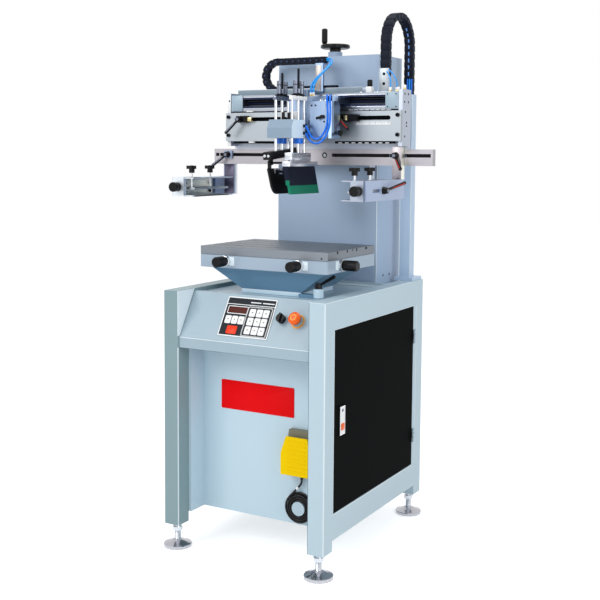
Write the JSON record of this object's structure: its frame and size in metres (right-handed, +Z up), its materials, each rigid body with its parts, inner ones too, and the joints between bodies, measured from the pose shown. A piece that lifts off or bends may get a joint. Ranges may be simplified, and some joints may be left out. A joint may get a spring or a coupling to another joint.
{
  "type": "flat-bed screen printing press",
  "caption": "Screen printing press on a cabinet: a carriage with squeegee and flood bar travels over a clamped screen, above a table set by micrometer grips.",
  "frame": {"origin": "centre of the footprint, on the floor under the four levelling feet", "axes": "+Z up, +X to the operator's right, +Y to the back of the machine"},
  "size_m": [0.742, 0.67, 1.5335],
  "materials": {
    "cabinet_paint": "satin enamel",
    "column_paint": "satin enamel",
    "door_black": "fine textured",
    "chrome": "polished",
    "aluminium": "brushed",
    "steel": "ground",
    "black_plastic": "satin",
    "chain_black": "matt",
    "orange_plastic": "gloss",
    "yellow_plastic": "satin",
    "grey_plastic": "matt",
    "blue_tube": "gloss",
    "squeegee_rubber": "satin",
    "holder_navy": "anodised",
    "rubber_black": "gloss"
  },
  "bodies": {
    "base": {"side_frame_left": "cabinet_paint", "side_frame_right": "cabinet_paint", "front_panel": "cabinet_paint", "back_and_floor": "cabinet_paint", "deck_plate": "cabinet_paint", "console_housing": "cabinet_paint", "column_housing": "column_paint", "chain_post": "column_paint", "table_pedestal": "cabinet_paint", "table_block": "cabinet_paint", "control_box": "grey_plastic", "foot_switch_body": "grey_plastic", "foot_lead": "rubber_black", "foot_lead_coil": "rubber_black", "lead_hook": "cabinet_paint"},
    "door": {"side_door": "door_black"},
    "latch": {"door_latch": "chrome"},
    "foot_front_left": {"foot_front_left": "chrome"},
    "foot_front_right": {"foot_front_right": "chrome"},
    "foot_back_left": {"foot_back_left": "chrome"},
    "foot_back_right": {"foot_back_right": "chrome"},
    "selector": {"selector_knob": "black_plastic"},
    "estop": {"estop_button": "orange_plastic"},
    "pedal": {"foot_pedal": "yellow_plastic"},
    "cross_slide": {"cross_slide": "steel"},
    "table": {"table_top": "aluminium"},
    "knob_front_left": {"knob_front_left": "black_plastic"},
    "knob_front_right": {"knob_front_right": "black_plastic"},
    "knob_side": {"knob_side": "black_plastic"},
    "table_lock": {"table_lock_lever": "black_plastic"},
    "saddle": {"lift_saddle": "steel"},
    "handwheel": {"handwheel": "black_plastic"},
    "grip": {"handwheel_grip": "black_plastic"},
    "head": {"head_frame": "aluminium", "head_front_plate": "aluminium", "rail_module": "aluminium", "screen_beam": "aluminium", "lift_chain": "chain_black"},
    "stop_left": {"travel_stop_left": "black_plastic"},
    "stop_right": {"travel_stop_right": "black_plastic"},
    "carriage": {"carriage_body": "aluminium", "tool_box": "cabinet_paint", "carriage_chain": "chain_black", "air_tube": "blue_tube"},
    "squeegee_rods": {"squeegee_rods": "steel"},
    "squeegee": {"squeegee_holder": "holder_navy", "squeegee_blade": "squeegee_rubber"},
    "flood_rods": {"flood_rods": "black_plastic"},
    "flood_bar": {"flood_bar": "black_plastic"},
    "clamp_right": {"clamp_arm_right": "aluminium"},
    "clamp_right_channel": {"clamp_right_channel": "aluminium"},
    "clamp_right_screws": {"clamp_right_screws": "black_plastic"},
    "clamp_right_end_knob": {"clamp_right_end_knob": "black_plastic"},
    "clamp_right_beam_lever": {"clamp_right_beam_lever": "black_plastic"},
    "clamp_right_side_lever": {"clamp_right_side_lever": "black_plastic"},
    "clamp_left": {"clamp_arm_left": "aluminium"},
    "clamp_left_channel": {"clamp_left_channel": "aluminium"},
    "clamp_left_screws": {"clamp_left_screws": "black_plastic"},
    "clamp_left_end_knob": {"clamp_left_end_knob": "black_plastic"},
    "clamp_left_beam_lever": {"clamp_left_beam_lever": "black_plastic"}
  },
  "joints": [
    {"name": "door_swing", "type": "hinge", "parent": "base", "child": "door", "pos_m": [0.2602, 0.2525, 0.17], "axis": [0, 0, 1], "range_deg": [0, 110]},
    {"name": "latch_lift", "type": "hinge", "parent": "door", "child": "latch", "pos_m": [0.25865, -0.225, 0.4508], "axis": [0, -1, 0], "range_deg": [0, 60]},
    {"name": "selector_turn", "type": "hinge", "parent": "base", "child": "selector", "pos_m": [0.1017, -0.27292, 0.6756], "axis": [0, -0.8556, 0.5177], "range_deg": [0, 90]},
    {"name": "estop_press", "type": "slide", "parent": "base", "child": "estop", "axis": [0, 0.8556, -0.5177], "range_m": [0, 0.005], "stiffness_N_per_m": 800},
    {"name": "pedal_press", "type": "hinge", "parent": "base", "child": "pedal", "pos_m": [0.13, -0.226, 0.252], "axis": [-1, 0, 0], "range_deg": [0, 6], "stiffness_Nm_per_rad": 4, "springref_deg": -1.72},
    {"name": "table_shift_y", "type": "slide", "parent": "base", "child": "cross_slide", "axis": [0, 1, 0], "range_m": [-0.01, 0.01]},
    {"name": "table_shift_x", "type": "slide", "parent": "cross_slide", "child": "table", "axis": [1, 0, 0], "range_m": [-0.01, 0.01]},
    {"name": "front_left_knob_turn", "type": "hinge", "parent": "base", "child": "knob_front_left", "pos_m": [-0.118, -0.215, 0.8175], "axis": [0, -1, 0], "range_deg": [-1810, 1810]},
    {"name": "front_right_knob_turn", "type": "hinge", "parent": "base", "child": "knob_front_right", "pos_m": [0.118, -0.215, 0.8175], "axis": [0, -1, 0], "range_deg": [-1810, 1810]},
    {"name": "side_knob_turn", "type": "hinge", "parent": "base", "child": "knob_side", "pos_m": [0.205, -0.14, 0.8175], "axis": [1, 0, 0], "range_deg": [-1810, 1810]},
    {"name": "table_lock_turn", "type": "hinge", "parent": "base", "child": "table_lock", "pos_m": [0.1515, -0.165, 0.7523], "axis": [0, 0, 1], "range_deg": [-60, 0]},
    {"name": "lift_screw_height", "type": "slide", "parent": "base", "child": "saddle", "axis": [0, 0, 1], "range_m": [-0.02, 0.02], "deforming": ["lift_chain"]},
    {"name": "handwheel_turn", "type": "hinge", "parent": "base", "child": "handwheel", "pos_m": [0, 0.21, 1.4305], "axis": [0, 0, 1], "range_deg": [-3610, 3610]},
    {"name": "grip_spin", "type": "hinge", "parent": "handwheel", "child": "grip", "pos_m": [-0.031, 0.198, 1.4528], "axis": [0, 0, 1], "continuous": true},
    {"name": "head_lift", "type": "slide", "parent": "saddle", "child": "head", "axis": [0, 0, 1], "range_m": [-0.1, 0], "deforming": ["lift_chain"]},
    {"name": "left_stop_shift", "type": "slide", "parent": "head", "child": "stop_left", "axis": [1, 0, 0], "range_m": [-0.01, 0.09]},
    {"name": "right_stop_shift", "type": "slide", "parent": "head", "child": "stop_right", "axis": [1, 0, 0], "range_m": [0, 0.08]},
    {"name": "carriage_travel", "type": "slide", "parent": "head", "child": "carriage", "axis": [1, 0, 0], "range_m": [-0.12, 0.1], "deforming": ["carriage_chain"]},
    {"name": "squeegee_stroke", "type": "slide", "parent": "carriage", "child": "squeegee_rods", "axis": [0, 0, 1], "range_m": [-0.02, 0]},
    {"name": "squeegee_tilt", "type": "hinge", "parent": "squeegee_rods", "child": "squeegee", "pos_m": [0.038, -0.07, 1.0935], "axis": [0, 1, 0], "range_deg": [-10, 10]},
    {"name": "flood_stroke", "type": "slide", "parent": "carriage", "child": "flood_rods", "axis": [0, 0, 1], "range_m": [-0.02, 0]},
    {"name": "flood_tilt", "type": "hinge", "parent": "flood_rods", "child": "flood_bar", "pos_m": [-0.025, -0.07, 1.093], "axis": [0, 1, 0], "range_deg": [-10, 10]},
    {"name": "right_clamp_along_beam", "type": "slide", "parent": "head", "child": "clamp_right", "axis": [1, 0, 0], "range_m": [-0.02, 0.05]},
    {"name": "right_beam_lever_turn", "type": "hinge", "parent": "clamp_right", "child": "clamp_right_beam_lever", "pos_m": [0.267, 0.0764, 1.116], "axis": [0, -1, 0], "range_deg": [-40, 40]},
    {"name": "right_side_lever_turn", "type": "hinge", "parent": "clamp_right", "child": "clamp_right_side_lever", "pos_m": [0.2853, -0.043, 1.02], "axis": [1, 0, 0], "range_deg": [-40, 0]},
    {"name": "right_channel_shift", "type": "slide", "parent": "clamp_right", "child": "clamp_right_channel", "axis": [0, 1, 0], "range_m": [-0.01, 0.01]},
    {"name": "right_end_knob_turn", "type": "hinge", "parent": "clamp_right_channel", "child": "clamp_right_end_knob", "pos_m": [0.2622, -0.1553, 1.02], "axis": [0, -1, 0], "range_deg": [-1810, 1810]},
    {"name": "right_clamp_screws_down", "type": "slide", "parent": "clamp_right_channel", "child": "clamp_right_screws", "axis": [0, 0, 1], "range_m": [-0.012, 0.015]},
    {"name": "left_clamp_along_beam", "type": "slide", "parent": "head", "child": "clamp_left", "axis": [1, 0, 0], "range_m": [-0.02, 0.05]},
    {"name": "left_beam_lever_turn", "type": "hinge", "parent": "clamp_left", "child": "clamp_left_beam_lever", "pos_m": [-0.317, 0.0939, 1.116], "axis": [0, -1, 0], "range_deg": [-40, 40]},
    {"name": "left_channel_shift", "type": "slide", "parent": "clamp_left", "child": "clamp_left_channel", "axis": [0, 1, 0], "range_m": [-0.01, 0.01]},
    {"name": "left_end_knob_turn", "type": "hinge", "parent": "clamp_left_channel", "child": "clamp_left_end_knob", "pos_m": [-0.3297, -0.1553, 1.02], "axis": [0, -1, 0], "range_deg": [-1810, 1810]},
    {"name": "left_clamp_screws_down", "type": "slide", "parent": "clamp_left_channel", "child": "clamp_left_screws", "axis": [0, 0, 1], "range_m": [-0.012, 0.015]},
    {"name": "front_left_foot_turn", "type": "hinge", "parent": "base", "child": "foot_front_left", "pos_m": [-0.229, -0.295, 0.04], "axis": [0, 0, 1], "continuous": true},
    {"name": "front_right_foot_turn", "type": "hinge", "parent": "base", "child": "foot_front_right", "pos_m": [0.229, -0.295, 0.04], "axis": [0, 0, 1], "continuous": true},
    {"name": "back_left_foot_turn", "type": "hinge", "parent": "base", "child": "foot_back_left", "pos_m": [-0.229, 0.295, 0.04], "axis": [0, 0, 1], "continuous": true},
    {"name": "back_right_foot_turn", "type": "hinge", "parent": "base", "child": "foot_back_right", "pos_m": [0.229, 0.295, 0.04], "axis": [0, 0, 1], "continuous": true}
  ],
  "couplings": [
    {"joint": "handwheel_turn", "follows": "lift_screw_height", "rad_per_m": 3141.6},
    {"joint": "front_left_knob_turn", "follows": "table_shift_y", "rad_per_m": 3141.6},
    {"joint": "front_right_knob_turn", "follows": "table_shift_y", "rad_per_m": 3141.6},
    {"joint": "side_knob_turn", "follows": "table_shift_x", "rad_per_m": 3141.6},
    {"joint": "right_end_knob_turn", "follows": "right_channel_shift", "rad_per_m": 3141.6},
    {"joint": "left_end_knob_turn", "follows": "left_channel_shift", "rad_per_m": 3141.6}
  ]
}
